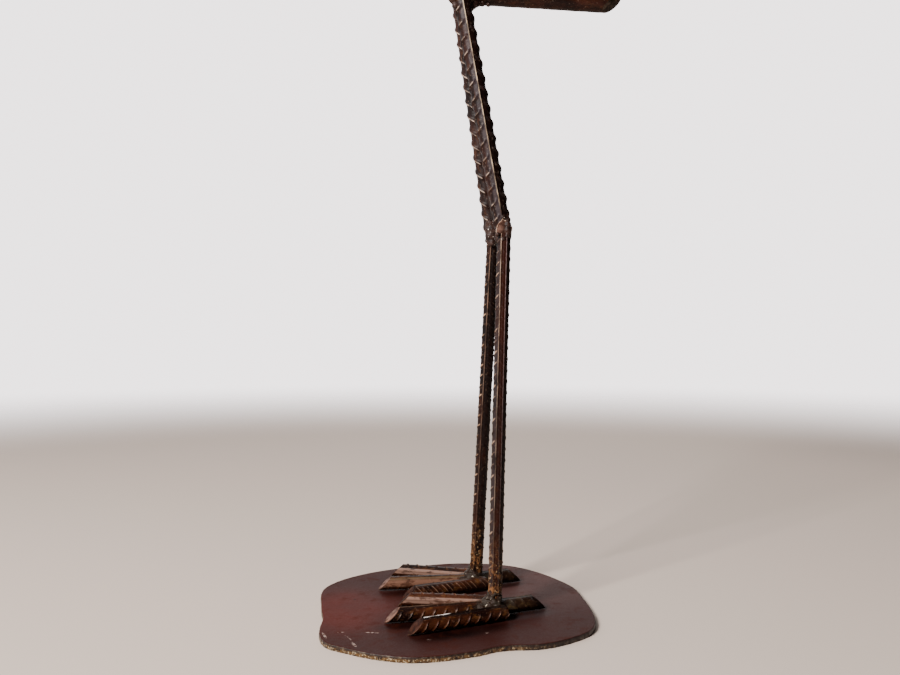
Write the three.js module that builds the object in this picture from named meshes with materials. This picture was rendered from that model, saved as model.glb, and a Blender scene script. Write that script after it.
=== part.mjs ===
// A standing flamingo welded together from reinforcing bar and plain round bar,
// on a torch-cut plate. Millimetres, +Z up, the beak toward -X, the origin at the
// middle of the plate's underside.
import * as THREE from 'three';

// Driving dimensions
const middleY = 3; // the bird's mid-plane
const gap = 0.3; // left between touching pieces
const plateThickness = 5;
const legBar = { core: 6.25, rib: 0.45, pitch: 10.2 }; // half-inch reinforcing bar
const thighBar = { core: 7.4, rib: 1.2, pitch: 13.7 }; // five-eighths bar
const toeBar = { core: 6.25, rib: 0.7, pitch: 10.2 };
const roundBar = 8.5; // radius of the plain bar of keel, back and neck
const featherBar = 6.6; // radius of the wing feathers
const ankle = { near: 29.9, far: 30.5, spread: 44.7 }; // near and far are places along x
const knee = { near: 43.5, far: 44.2, z: 354, spread: 23.9 };
const hip = { near: 1.5, far: 8.1, z: 588, spread: roundBar + thighBar.core + thighBar.rib + gap };
const keelHeight = 581;
const tailEnd = 156;
const tailCutFacing = new THREE.Vector3(1, -0.8, -1.1); // the keel's end is cut back below and nearward
const toeCut = 13; // run of the slanting cut at a toe's tip
const kneeCut = 24; // height of the slanting cut at a thigh's foot
const longRibFacing = new THREE.Vector3(-0.24, -0.97, 0); // where the legs' long ribs look
const headRadius = 13;
const barSides = 8;

const up = new THREE.Vector3(0, 0, 1);
const across = new THREE.Vector3(0, 1, 0);

const finishes = {
  plate: new THREE.MeshStandardMaterial({ color: 0x3d2423, roughness: 0.5, metalness: 0.5 }),
  bar: new THREE.MeshStandardMaterial({ color: 0x4a2a1c, roughness: 0.48, metalness: 0.6 }),
  weld: new THREE.MeshStandardMaterial({ color: 0x4c4a40, roughness: 0.6, metalness: 0.6 }),
};

const flamingo = new THREE.Group();

function addPiece(name, geometry, finish) {
  const piece = new THREE.Mesh(geometry, finish.clone());
  piece.name = name;
  flamingo.add(piece);
}

// A plane that ends a bar: a point on it and the direction that it looks
function cutPlane(point, facing) {
  return { point, facing: facing.clone().normalize() };
}

// How far outward a vertex is moved to lie on the first of the planes that it meets
function slideTo(planes, vertex, outward) {
  return Math.min(...planes.map((plane) => {
    const away = plane.point.clone().sub(vertex).dot(plane.facing);
    return away / outward.dot(plane.facing);
  }));
}

// A bar along a curve, made by bending a cylinder. rings holds the places of its
// rings from 0 to 1, radiusAt gives the radius for an angle and a ring's number.
function bendCylinder({ curve, rings, radiusAt, reference, sides = barSides, shear = 0,
  startPlanes, endPlanes }) {
  const last = rings.length - 1;
  const geometry = new THREE.CylinderGeometry(1, 1, 1, sides, last);
  const place = geometry.attributes.position;
  const vertex = new THREE.Vector3();
  for (let i = 0; i < place.count; i += 1) {
    vertex.fromBufferAttribute(place, i);
    const ring = Math.round((vertex.y + 0.5) * last);
    const along = curve.getTangentAt(rings[ring]).normalize();
    const out = reference.clone().addScaledVector(along, -reference.dot(along)).normalize();
    const side = out.clone().cross(along);
    const spoke = Math.hypot(vertex.x, vertex.z);
    const angle = Math.atan2(vertex.z, vertex.x);
    const radius = spoke > 0.5 ? radiusAt(angle, ring) : 0;
    const inner = ring > 0 && ring < last;
    const point = curve.getPointAt(rings[ring])
      .addScaledVector(out, radius * Math.cos(angle))
      .addScaledVector(side, radius * Math.sin(angle))
      .addScaledVector(along, inner ? shear * Math.cos(angle) : 0);
    const planes = { 0: startPlanes, [last]: endPlanes }[ring];
    const outward = ring === 0 ? along.clone().negate() : along;
    if (planes) point.addScaledVector(outward, slideTo(planes, point, outward));
    place.setXYZ(i, point.x, point.y, point.z);
  }
  geometry.computeVertexNormals();
  return geometry;
}

// Reinforcing bar: two long ribs and, between them, slanting ribs at every pitch.
// bareStart and bareEnd are the lengths at its ends that carry no ribs.
function ribbedBar({ from, to, bar, reference, bareStart, bareEnd, startPlanes, endPlanes }) {
  const length = from.distanceTo(to);
  const count = Math.floor((length - bareStart - bareEnd) / bar.pitch);
  const rings = [0];
  for (let i = 0; i < count; i += 1) {
    const foot = bareStart + i * bar.pitch;
    rings.push((foot + 0.25 * bar.pitch) / length, (foot + 0.6 * bar.pitch) / length);
  }
  rings.push(1);
  const longRib = (angle) => Math.abs(Math.cos(angle)) > 0.9;
  const radiusAt = (angle, ring) => {
    const crest = ring > 0 && ring < rings.length - 1 && ring % 2 === 0;
    return bar.core + (crest || longRib(angle) ? bar.rib : 0);
  };
  return bendCylinder({ curve: new THREE.LineCurve3(from, to), rings, radiusAt, reference,
    shear: 0.2 * bar.pitch, startPlanes, endPlanes });
}

// Plain round bar along a curve in a plane of constant y, its ends cut slanting by
// the given runs over the bar's own thickness
function plainBar({ curve, radius, steps, startRun = 0, endRun = 0, sides = barSides,
  startPlanes }) {
  const rings = Array.from({ length: steps + 1 }, (_, i) => i / steps);
  const radiusAt = typeof radius === 'function'
    ? (angle, ring) => radius(rings[ring])
    : () => radius;
  const size = radiusAt(0, 0);
  const slant = (at, run, sign) => {
    const along = curve.getTangentAt(at);
    const rise = along.clone().cross(across);
    const facing = along.clone().multiplyScalar(sign).addScaledVector(rise, run / (2 * size));
    return [cutPlane(curve.getPointAt(at), facing)];
  };
  return bendCylinder({ curve, rings, radiusAt, reference: across, sides,
    startPlanes: startPlanes || slant(0, startRun, -1), endPlanes: slant(1, endRun, 1) });
}

// The plane in which a piece begins that is welded on to the end of a curve
function planeAfter(curve) {
  const along = curve.getTangentAt(1);
  const place = curve.getPointAt(1).addScaledVector(along, gap);
  return [cutPlane(place, along.negate())];
}

function sideCurve(points, y = middleY) {
  const places = points.map(([x, z]) => new THREE.Vector3(x, y, z));
  return places.length > 2
    ? new THREE.CatmullRomCurve3(places, false, 'centripetal')
    : new THREE.LineCurve3(...places);
}

// A stretch of a side curve, moved off it within its plane and to another y
function besideCurve(curve, from, to, offset, y = middleY) {
  const count = 11;
  const places = Array.from({ length: count }, (_, i) => {
    const run = i / (count - 1);
    const at = from + (to - from) * run;
    const normal = curve.getTangentAt(at).cross(across);
    const place = curve.getPointAt(at).addScaledVector(normal, offset(run));
    place.y = y;
    return place;
  });
  return new THREE.CatmullRomCurve3(places, false, 'centripetal');
}

// The plate: a hand-cut outline, given as angle and radius round the origin
function plateGeometry() {
  const outline = [[-170, 126], [-160, 136], [-152, 145.5], [-145, 150.5], [-137, 148], [-127, 146.5],
    [-115, 143.5], [-106, 137], [-98, 130.4], [-90, 125], [-83, 120], [-76, 121.5], [-68, 129.5],
    [-59, 135], [-44, 140.5], [-36, 138.5], [-27, 133.3], [-14, 127.2], [0, 126.3], [13, 131],
    [28, 134.3], [40, 139.5], [53, 145], [66, 144], [82, 140.5], [104, 134.5], [120, 136.5],
    [135, 139], [148, 138.7], [158, 133.2], [168, 126.8], [179, 124.8]];
  const places = outline.map(([angle, radius]) => {
    const turn = THREE.MathUtils.degToRad(angle);
    return new THREE.Vector3(radius * Math.cos(turn), radius * Math.sin(turn), 0);
  });
  const edge = new THREE.CatmullRomCurve3(places, true, 'centripetal');
  const rim = edge.getPoints(3 * places.length).slice(1);
  return new THREE.ExtrudeGeometry(new THREE.Shape(rim.map(({ x, y }) => new THREE.Vector2(x, y))),
    { depth: plateThickness, bevelEnabled: false });
}

// Feet: each toe starts beside the ankle, lies on the plate and ends in a slanting cut
const toes = {
  near: [
    { name: 'inner', start: [-3.8, 16.9], heading: 163.5, length: 83 },
    { name: 'middle', start: [-7.4, 1], heading: 184.2, length: 93.2 },
    { name: 'outer', start: [7.1, -14.2], heading: 196, length: 94.6 },
    { name: 'back', start: [7.9, 2], heading: 13, length: 43.4 },
  ],
  far: [
    { name: 'outer', start: [2, 15.5], heading: 155.4, length: 88.9 },
    { name: 'middle', start: [-7.4, 0], heading: 177.5, length: 90 },
    { name: 'inner', start: [7.5, -14.2], heading: 194, length: 88 },
    { name: 'back', start: [7.9, 3], heading: 13.5, length: 42 },
  ],
};
const toeAxis = plateThickness + gap + toeBar.core + toeBar.rib;

function addToe(side, toe, anklePlace) {
  const turn = THREE.MathUtils.degToRad(toe.heading);
  const forward = new THREE.Vector3(Math.cos(turn), Math.sin(turn), 0);
  const from = new THREE.Vector3(anklePlace.x + toe.start[0], anklePlace.y + toe.start[1], toeAxis);
  const to = from.clone().addScaledVector(forward, toe.length - toeCut / 2);
  const tip = forward.clone().multiplyScalar(2 * toeBar.core).addScaledVector(up, toeCut);
  addPiece(`${side}_${toe.name}_toe`, ribbedBar({ from, to, bar: toeBar, reference: up,
    bareStart: 0, bareEnd: toeCut, endPlanes: [cutPlane(to, tip)] }), finishes.bar);
}

// A leg: the lower bar up to the knee, the upper bar on to the hip, and the ankle's weld
function addLeg(side, sign) {
  const foot = new THREE.Vector3(ankle[side], middleY + sign * ankle.spread, plateThickness + gap);
  const bend = new THREE.Vector3(knee[side], middleY + sign * knee.spread, knee.z);
  const top = new THREE.Vector3(hip[side], middleY + sign * hip.spread, hip.z);
  const scarf = new THREE.Vector3(0, kneeCut, 2 * thighBar.core);
  const scarfAt = (lift) => bend.clone().addScaledVector(scarf.clone().normalize(), lift);
  toes[side].forEach((toe) => addToe(side, toe, foot));
  addPiece(`${side}_lower_leg`, ribbedBar({ from: foot, to: bend, bar: legBar,
    reference: longRibFacing, bareStart: 3, bareEnd: 20,
    startPlanes: [cutPlane(foot, up.clone().negate())],
    endPlanes: [cutPlane(scarfAt(-gap), scarf), cutPlane(bend, up)] }), finishes.bar);
  addPiece(`${side}_upper_leg`, ribbedBar({ from: bend, to: top, bar: thighBar,
    reference: longRibFacing, bareStart: 16, bareEnd: 4,
    startPlanes: [cutPlane(scarfAt(gap), scarf.clone().negate())],
    endPlanes: [cutPlane(top, up)] }), finishes.bar);
  addAnkleWeld(side, foot, bend);
}

// The weld that runs round a leg on top of its toes
function addAnkleWeld(side, foot, bend) {
  const base = toeAxis + toeBar.core + toeBar.rib + gap;
  const height = 10;
  const inner = legBar.core + legBar.rib + 3 * gap;
  const profile = [[inner, 0], [11.6, 0], [10.8, 2.4], [9.1, 5], [8.2, 9], [inner, height], [inner, 0]];
  const collar = new THREE.LatheGeometry(profile.map(([x, y]) => new THREE.Vector2(x, y)), 12);
  collar.rotateX(Math.PI / 2);
  const rise = (base + height / 2 - foot.z) / (bend.z - foot.z);
  const place = foot.clone().lerp(bend, rise);
  collar.translate(place.x, place.y, base);
  addPiece(`${side}_ankle_weld`, collar, finishes.weld);
}

// Keel: level below the tail, bent at the hip and rising as the breast
const keelCurve = sideCurve([[tailEnd, keelHeight], [90, keelHeight], [28, keelHeight],
  [10, keelHeight + 0.2], [0, 584], [-14, 600], [-42, 633], [-67, 682], [-81, 738]]);
// Back: a low arch from the nape to the tail
const backCurve = sideCurve([[-22, 739], [100, 704], [236, 634]]);
// Neck: out of the breast, forward, back and over to the head
const neckCurve = sideCurve([[-28, 668], [-43.6, 699.5], [-64, 747], [-98, 790], [-128, 838],
  [-133, 892], [-113, 944], [-90, 996], [-80, 1050], [-90, 1094], [-112, 1117], [-134, 1121]]);

function addBody() {
  addPiece('keel_bar', plainBar({ curve: keelCurve, radius: roundBar, steps: 20,
    startPlanes: [cutPlane(keelCurve.getPointAt(0), tailCutFacing)], endRun: 9 }), finishes.bar);
  addPiece('back_bar', plainBar({ curve: backCurve, radius: roundBar, steps: 10,
    startRun: 4, endRun: 16 }), finishes.bar);
  const tailBars = [
    { name: 'lower_tail_bar', points: [[14, keelHeight + 17.6], [198, keelHeight + 17.6]] },
    { name: 'middle_tail_bar', points: [[-10, 632], [222, 614]] },
    { name: 'upper_tail_bar', points: [[0, 684], [162, 652]] },
  ];
  tailBars.forEach(({ name, points }) => addPiece(name,
    plainBar({ curve: sideCurve(points), radius: roundBar, steps: 2, endRun: 10 }), finishes.bar));
}

// Wings: feathers of bar stacked down each flank, bowed outward amidships, and
// shorter ones laid over them at the shoulder
const wing = { front: -60, rear: 205, top: 738, tail: 643, arch: 8, frontPitch: 16.2,
  rearPitch: 15.4, bow: 13, rows: 8 };

function featherCurve(row, from, to, flank, sign) {
  const steps = 4;
  const places = Array.from({ length: steps + 1 }, (_, i) => {
    const x = from + ((to - from) * i) / steps;
    const run = (x - wing.front) / (wing.rear - wing.front);
    const high = wing.top - row * wing.frontPitch;
    const low = wing.tail - row * wing.rearPitch;
    const swell = Math.sin(Math.PI * Math.min(1, run)) * Math.sin((Math.PI * (row + 0.6)) / wing.rows);
    const z = high + (low - high) * run + wing.arch * 4 * run * (1 - run);
    return new THREE.Vector3(x, middleY + sign * (flank + wing.bow * swell), z);
  });
  return new THREE.CatmullRomCurve3(places, false, 'centripetal');
}

function addWing(side, sign) {
  const flank = roundBar + featherBar + gap;
  const overlap = Math.sqrt((2 * featherBar + gap) ** 2 - (wing.rearPitch / 2) ** 2) + 6 * gap;
  const long = [[-28, 212], [-44, 206], [-52, 192], [-54, 172], [-50, 148], [-40, 120], [-24, 88],
    [-4, 52]];
  const short = [[-34, 84], [-44, 104], [-48, 98], [-46, 78], [-38, 54]];
  long.forEach(([from, to], row) => addPiece(`${side}_wing_feather_${row + 1}`,
    plainBar({ curve: featherCurve(row, from, to, flank, sign), radius: featherBar,
      steps: 4, startRun: 3, endRun: 20 }), finishes.bar));
  short.forEach(([from, to], row) => addPiece(`${side}_shoulder_feather_${row + 1}`,
    plainBar({ curve: featherCurve(row + 0.5, from, to, flank + overlap, sign),
      radius: featherBar, steps: 4, startRun: 6, endRun: 18 }), finishes.bar));
}

function addNeck() {
  addPiece('neck_bar', plainBar({ curve: neckCurve, radius: roundBar, steps: 30 }), finishes.bar);
  const nape = besideCurve(neckCurve, 0.03, 0.37, () => -(2 * roundBar + 5 * gap));
  addPiece('nape_bar', plainBar({ curve: nape, radius: roundBar, steps: 11, startRun: 4,
    endRun: -10 }), finishes.bar);
  for (const [side, sign] of [['near', -1], ['far', 1]]) {
    const y = middleY + sign * (roundBar + featherBar + gap);
    addPiece(`${side}_neck_bar`, plainBar({ curve: besideCurve(neckCurve, 0.13, 0.3, () => 0, y),
      radius: featherBar, steps: 6, startRun: 6, endRun: -22 }), finishes.bar);
  }
}

function addHead() {
  const skull = sideCurve([[-134.6, 1121], [-157, 1119], [-182, 1108]]);
  const bulge = (at) => 9 + (headRadius - 9) * Math.sin(Math.PI * (0.1 + 0.65 * at));
  addPiece('head', plainBar({ curve: skull, radius: bulge, steps: 8, sides: 10,
    startPlanes: planeAfter(neckCurve) }), finishes.bar);
  const upper = sideCurve([[-183.8, 1111], [-205, 1103], [-220, 1085], [-224, 1056]]);
  const taper = (root) => (at) => root * (1 - 0.75 * at ** 2);
  const lower = besideCurve(upper, 0.01, 0.86, (run) => taper(7.5)(0.86 * run) + taper(4.5)(run) + 2 * gap);
  const startPlanes = planeAfter(skull);
  addPiece('upper_beak', plainBar({ curve: upper, radius: taper(7.5), steps: 7, startPlanes }),
    finishes.bar);
  addPiece('lower_beak', plainBar({ curve: lower, radius: taper(4.5), steps: 7, startPlanes }),
    finishes.bar);
  for (const [side, sign] of [['near', -1], ['far', 1]]) {
    const eye = new THREE.SphereGeometry(4, 10, 6);
    eye.scale(1, 0.45, 1);
    eye.translate(-163, middleY + sign * (headRadius + 1.4), 1117);
    addPiece(`${side}_eye`, eye, finishes.weld);
  }
}

addPiece('base_plate', plateGeometry(), finishes.plate);
addLeg('near', -1);
addLeg('far', 1);
addBody();
addWing('near', -1);
addWing('far', 1);
addNeck();
addHead();

export default flamingo;
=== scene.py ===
import random
from math import cos, pi, radians, sin

import bmesh
import bpy
import numpy as np
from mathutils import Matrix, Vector, noise


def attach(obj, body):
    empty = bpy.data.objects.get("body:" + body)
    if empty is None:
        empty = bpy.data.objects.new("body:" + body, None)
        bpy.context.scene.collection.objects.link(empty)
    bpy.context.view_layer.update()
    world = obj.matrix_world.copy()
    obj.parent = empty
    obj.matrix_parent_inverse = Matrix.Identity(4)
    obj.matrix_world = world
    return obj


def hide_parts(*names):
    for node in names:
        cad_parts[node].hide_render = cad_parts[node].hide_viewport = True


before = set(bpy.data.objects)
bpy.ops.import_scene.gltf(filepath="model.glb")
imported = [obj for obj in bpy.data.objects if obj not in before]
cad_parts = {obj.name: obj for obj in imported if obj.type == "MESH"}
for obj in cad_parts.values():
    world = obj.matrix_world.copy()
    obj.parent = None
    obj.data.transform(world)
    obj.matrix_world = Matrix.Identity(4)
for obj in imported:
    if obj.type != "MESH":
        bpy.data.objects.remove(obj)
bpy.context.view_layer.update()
mm = 0.001
across = np.array((0.0, 1.0, 0.0))
upward = np.array((0.0, 0.0, 1.0))
middleY = 3.0  # the bird's mid-plane, in millimetres as every size here
gap = 0.3  # left between bars that lie side by side


# Routes: smooth lines through a few points, measured along their length

curveSteps = 24  # places on each stretch between two points


def smoothLine(points):
    points = [np.array(p, float) for p in points]
    if len(points) == 2:
        return np.array(points)
    ends = [2 * points[0] - points[1]] + points + [2 * points[-1] - points[-2]]
    line = []
    for a, b, c, d in zip(ends, ends[1:], ends[2:], ends[3:]):
        # a curve from b to c, whose slopes there follow from a and d too
        k1, k2, k3 = [np.linalg.norm(q - p) ** 0.5 for p, q in ((a, b), (b, c), (c, d))]
        m1 = ((b - a) / k1 - (c - a) / (k1 + k2) + (c - b) / k2) * k2
        m2 = ((c - b) / k2 - (d - b) / (k2 + k3) + (d - c) / k3) * k2
        for t in np.arange(curveSteps) / curveSteps:
            line.append((2 * t**3 - 3 * t**2 + 1) * b + (t**3 - 2 * t**2 + t) * m1
                        + (3 * t**2 - 2 * t**3) * c + (t**3 - t**2) * m2)
    return np.array(line + [points[-1]])


def routeOf(points):
    line = smoothLine(points)
    lengths = np.concatenate(([0.0], np.cumsum(np.linalg.norm(np.diff(line, axis=0), axis=1))))
    slopes = np.gradient(line, lengths, axis=0)
    return {"line": line, "lengths": lengths, "slopes": slopes, "length": lengths[-1]}


def placeOn(route, along):
    inside = np.clip(along, 0, route["length"])
    place = np.stack([np.interp(inside, route["lengths"], route["line"][:, k]) for k in range(3)], 1)
    slope = np.stack([np.interp(inside, route["lengths"], route["slopes"][:, k]) for k in range(3)], 1)
    slope /= np.linalg.norm(slope, axis=1)[:, None]
    return place + slope * (along - inside)[:, None], slope


def sideRoute(points, y=middleY):
    return routeOf([(x, y, z) for x, z in points])


besidePoints = 11


def besideRoute(route, start, end, offset, y=middleY):
    # a route that keeps its offset from a stretch of another, in the plane at y
    runs = np.linspace(0, 1, besidePoints)
    place, slope = placeOn(route, (start + (end - start) * runs) * route["length"])
    place = place + np.cross(slope, across) * np.array([offset(run) for run in runs])[:, None]
    place[:, 1] = y
    return routeOf(place)


def cutAcross(route, at, run, size):
    # a plane that ends a bar at its start, 0, or its end, 1, and leans by run over the bar's thickness
    place, slope = placeOn(route, np.array([at * route["length"]]))
    outward = slope[0] * (1 if at > 0.5 else -1)
    lean = np.cross(slope[0], across) * run / (2 * size)
    return place[0], outward + lean


# Bars: a cylinder is cut into rings, given its ribs, laid along its route and cut off

# Ribbed bars have two long ribs and slanting ribs between them, on the left and the right half. A slanting
# rib starts at ribStart of its half's way round. Its crest is painted bright over strokeSpan either side of
# strokeAt, as scuffed paint and as a painted highlight; strokeRight scales this on the right half, which lies
# in shade

legBar = {"sides": 64, "step": 0.6, "rough": 0.05, "core": 6.25, "longRib": 0.7, "longWidth": 2.6,
          "rib": 0.5, "ribWidth": 2.8, "ribStart": 0.03, "stagger": 0.0,
          "strokeRight": 0.0, "strokeAt": 0.84, "strokeSpan": 0.15, "strokeWidth": 1.0}
thighBar = {"sides": 72, "step": 0.6, "rough": 0.07, "core": 7.4, "longRib": 0.9, "longWidth": 3.0,
            "rib": 1.25, "ribWidth": 6.5, "ribStart": 0.07, "stagger": 0.5,
            "strokeRight": 0.08, "strokeAt": 0.745, "strokeSpan": 0.09, "strokeWidth": 0.7}
toeBar = {"sides": 60, "step": 0.5, "rough": 0.1, "core": 6.25, "longRib": 0.8, "longWidth": 2.8,
          "rib": 0.85, "ribWidth": 2.1, "ribStart": 0.25, "slant": -1.1, "pitch": 10.2, "phase": 0.0,
          "stagger": 0.0, "strokeRight": 0.3, "strokeAt": 0.53, "strokeSpan": 0.1, "strokeWidth": 0.6}
featherBar = {"sides": 40, "step": 1.0, "rough": 0.09, "core": 5.8, "longRib": 0.75, "longWidth": 2.4,
              "rib": 0.8, "ribWidth": 2.4, "ribStart": 0.12, "slant": 1.1, "pitch": 9.6,
              "stagger": 0.0, "strokeRight": 1.0, "strokeAt": 0.5, "strokeSpan": 0.2, "strokeWidth": 0.8}
plainBar = {"sides": 36, "step": 1.6, "rough": 0.13}
roundBar = 8.5
featherRadius = 6.6
ribShape = {"endRise": 2.6, "crestSpan": 1.2}
strokeShape = {"edge": 0.05, "least": 0.75, "swing": 0.25, "pace": 2.4, "full": 1.25}
sway = {"pace": 0.11, "shift": 1.7}
waves = [(0.6, 0.29, 2, 2.3), (0.4, 0.83, -3, 0.7)]  # height, pace along, waves round, shift by seed
barEnd = {"spare": 18.0, "rim": 0.5, "dish": 0.35, "sharp": 38}
paintShift = 97.0  # keeps the same paint from falling alike on two bars


def smoothStep(value):
    value = np.clip(value, 0, 1)
    return value * value * (3 - 2 * value)


def barRelief(bar, angle, along):
    # heights of the long and the slanting ribs, nearness to a long rib's crest, and bright strokes of scuffed
    # paint and painted highlight, 0 to 1
    side = (angle % pi) / pi
    arc = np.minimum(side, 1 - side) * pi * bar["core"]
    longRib = smoothStep(1 - arc / (bar["longWidth"] * 0.5))
    runAcross = np.clip((side - bar["ribStart"]) / (1 - 2 * bar["ribStart"]), 0, 1)
    crown = np.minimum(1, ribShape["endRise"] * np.sin(pi * runAcross))
    right = angle % (2 * pi) < pi
    lean = np.where(right, -1.0, 1.0) * (side - 0.5) * bar["slant"] * bar["core"] * 2
    shift = bar["phase"] + np.where(right, bar["stagger"] * bar["pitch"], 0.0)
    turns = (along - lean - shift) / bar["pitch"] + 0.5
    off = np.abs(turns % 1 - 0.5) * bar["pitch"]
    ridge = smoothStep(1 - off / (bar["ribWidth"] * 0.5))
    brightMarks = np.clip((bar["strokeSpan"] - np.abs(side - bar["strokeAt"])) / strokeShape["edge"] + 0.5, 0, 1)
    # painted highlight: the right half lies in shade, so it keeps only strokeRight of its bright strokes
    brightMarks = brightMarks * np.where(right, bar["strokeRight"], 1.0)
    brightMarks = brightMarks * (strokeShape["least"] + strokeShape["swing"] * np.sin(strokeShape["pace"] * np.floor(turns)))
    stroke = np.clip(strokeShape["full"] - off / bar["strokeWidth"], 0, 1) * crown * brightMarks
    crest = np.clip(2 - arc / ribShape["crestSpan"], 0, 1)
    return longRib, crown * ridge, crest, stroke


def unevenness(angle, along, seed):
    # slow waves that keep a rolled or hammered bar from looking turned
    uneven = np.sin(along * sway["pace"] + seed) * np.cos(angle + seed * sway["shift"])
    for height, pace, rounds, shift in waves:
        uneven += height * np.sin(along * pace + rounds * angle + seed * shift)
    return uneven


def makeBar(name, route, radius, bar, reference, startCut, endCut, seed):
    # one long rib faces reference; a cut is a list of planes, each a place and the way out
    total = route["length"] + 2 * barEnd["spare"]
    bm = bmesh.new()
    bmesh.ops.create_cone(bm, cap_ends=True, segments=bar["sides"], radius1=1, radius2=1, depth=1)
    lengthwise = [e for e in bm.edges if abs(e.verts[0].co.z - e.verts[1].co.z) > 0.5]
    bmesh.ops.subdivide_edges(bm, edges=lengthwise, cuts=int(total / bar["step"]), use_grid_fill=True)
    mesh = meshOf(name, bm)

    count = len(mesh.vertices)
    flat = np.empty(count * 3)
    mesh.vertices.foreach_get("co", flat)
    flat = flat.reshape(-1, 3)
    along = (flat[:, 2] + 0.5) * total - barEnd["spare"]
    angle = np.arctan2(flat[:, 1], flat[:, 0])
    run = np.clip(along / route["length"], 0, 1)
    size = np.array([radius(r) for r in run]) if callable(radius) else np.full(count, float(radius))
    crest, stroke = np.zeros(count), np.zeros(count)
    if "rib" in bar:
        longRib, raised, crest, stroke = barRelief(bar, angle, along)
        size = size + np.maximum(longRib * bar["longRib"], raised * bar["rib"])
    size = size + bar["rough"] * unevenness(angle, along, seed)
    place, slope = placeOn(route, along)
    out = reference - (slope @ reference)[:, None] * slope
    out /= np.linalg.norm(out, axis=1)[:, None]
    side = np.cross(slope, out)
    place = place + out * (size * np.cos(angle))[:, None] + side * (size * np.sin(angle))[:, None]
    mesh.vertices.foreach_set("co", (place * mm).ravel())
    straight = np.stack((size * np.cos(angle), size * np.sin(angle), along + paintShift * seed), 1) * mm
    mesh.attributes.new("straight", "FLOAT_VECTOR", "POINT").data.foreach_set("vector", straight.ravel())
    for key, values in (("stroke", stroke), ("crest", crest)):
        mesh.attributes.new(key, "FLOAT", "POINT").data.foreach_set("value", values)
    trimBar(mesh, startCut + endCut)
    return newPiece(name, mesh)


def trimBar(mesh, cuts):
    # what lies outside any of the planes is taken off and closed with a dished face in a burr
    bm = bmesh.new()
    bm.from_mesh(mesh)
    for place, outward in cuts:
        geometry = bm.verts[:] + bm.edges[:] + bm.faces[:]
        bmesh.ops.bisect_plane(bm, geom=geometry, dist=1e-6, plane_co=Vector(place) * mm,
                               plane_no=Vector(outward), clear_outer=True)
        rim = [e for e in bm.edges if e.is_boundary]
        cap = bmesh.ops.edgeloop_fill(bm, edges=rim, mat_nr=1)["faces"]
        rims = bmesh.ops.inset_region(bm, faces=cap, thickness=barEnd["rim"] * mm, depth=barEnd["dish"] * mm)
        for face in rims["faces"]:
            face.material_index = 2
    for face in bm.faces:
        face.smooth = True
    for edge in bm.edges:
        if len(edge.link_faces) == 2 and edge.calc_face_angle() > radians(barEnd["sharp"]):
            edge.smooth = False
    bmesh.ops.recalc_face_normals(bm, faces=bm.faces)
    bm.to_mesh(mesh)
    bm.free()


def meshOf(name, bm):
    mesh = bpy.data.meshes.new(name)
    bm.to_mesh(mesh)
    bm.free()
    return mesh


def newPiece(name, mesh):
    piece = bpy.data.objects.new(name, mesh)
    bpy.context.collection.objects.link(piece)
    return piece


def dress(piece, slot, nodes, *finishes):
    for finish in finishes:
        piece.data.materials.append(finish)
    if nodes:
        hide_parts(*nodes)
    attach(piece, "root")


# Welds: overlapping beads, run together and roughened

weld = {"voxel": 0.75, "flat": 0.9, "smoothing": 0.5, "ripple": 0.5, "rippleScale": 0.24, "grain": 0.3,
        "grainScale": 0.8}


def makeWeld(name, beads, finish, nodes=(), floor=None, voxel=weld["voxel"], flat=weld["flat"]):
    # beads are spheres, each a place and a radius
    bm = bmesh.new()
    for x, y, z, size in beads:
        ball = bmesh.ops.create_icosphere(bm, subdivisions=3, radius=size * mm)["verts"]
        bmesh.ops.scale(bm, vec=(1, 1, flat), verts=ball)
        bmesh.ops.translate(bm, vec=Vector((x, y, z)) * mm, verts=ball)
    beadsTogether = newPiece(f"{name}_beads", meshOf(f"{name}_beads", bm))
    remesh = beadsTogether.modifiers.new("together", "REMESH")
    remesh.mode = "VOXEL"
    remesh.voxel_size = voxel * mm
    solid = bpy.data.meshes.new_from_object(
        beadsTogether.evaluated_get(bpy.context.evaluated_depsgraph_get()))
    bpy.data.objects.remove(beadsTogether)
    bm = bmesh.new()
    bm.from_mesh(solid)
    bmesh.ops.smooth_vert(bm, verts=bm.verts, factor=weld["smoothing"], use_axis_x=True, use_axis_y=True,
                          use_axis_z=True)
    bm.normal_update()
    for v in bm.verts:
        place = v.co / mm
        lump = noise.noise(place * weld["rippleScale"]) * weld["ripple"]
        lump += noise.noise(place * weld["grainScale"]) * weld["grain"]
        v.co += v.normal * lump * mm
        if floor is not None:
            v.co.z = max(v.co.z, floor * mm)
    for face in bm.faces:
        face.smooth = True
    bmesh.ops.recalc_face_normals(bm, faces=bm.faces)
    bm.to_mesh(solid)
    bm.free()
    solid.name = name
    dress(newPiece(name, solid), "weld", nodes, finish)


beadRun = {"spacing": 0.6, "wander": 0.6, "least": 0.85, "most": 1.12}


def beadsBetween(points, size, seed):
    # a run of beads along a line, each a little off it
    rng = random.Random(seed)
    route = routeOf(points)
    count = max(2, int(route["length"] / (size * beadRun["spacing"])))
    places, _ = placeOn(route, np.linspace(0, route["length"], count))
    wander = beadRun["wander"]
    return [(*(place + np.array([rng.uniform(-wander, wander) for _ in range(3)])),
             size * rng.uniform(beadRun["least"], beadRun["most"])) for place in places]


# Finishes: short functions that each add a node or two and return what comes out

canvas = {}  # holds the tree of nodes that is being filled


def openCanvas(owner):
    owner.use_nodes = True
    canvas["tree"] = owner.node_tree
    canvas["tree"].nodes.clear()
    return owner


def addNode(kind, inputs=(), **settings):
    # inputs holds pairs of a socket and either a value or another node's output
    tree = canvas["tree"]
    node = tree.nodes.new(f"ShaderNode{kind}")
    for setting, value in settings.items():
        setattr(node, setting, value)
    for socket, value in inputs:
        if isinstance(value, bpy.types.NodeSocket):
            tree.links.new(value, node.inputs[socket])
        else:
            node.inputs[socket].default_value = value
    return node.outputs


def newFinish(name):
    return openCanvas(bpy.data.materials.new(name))


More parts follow.
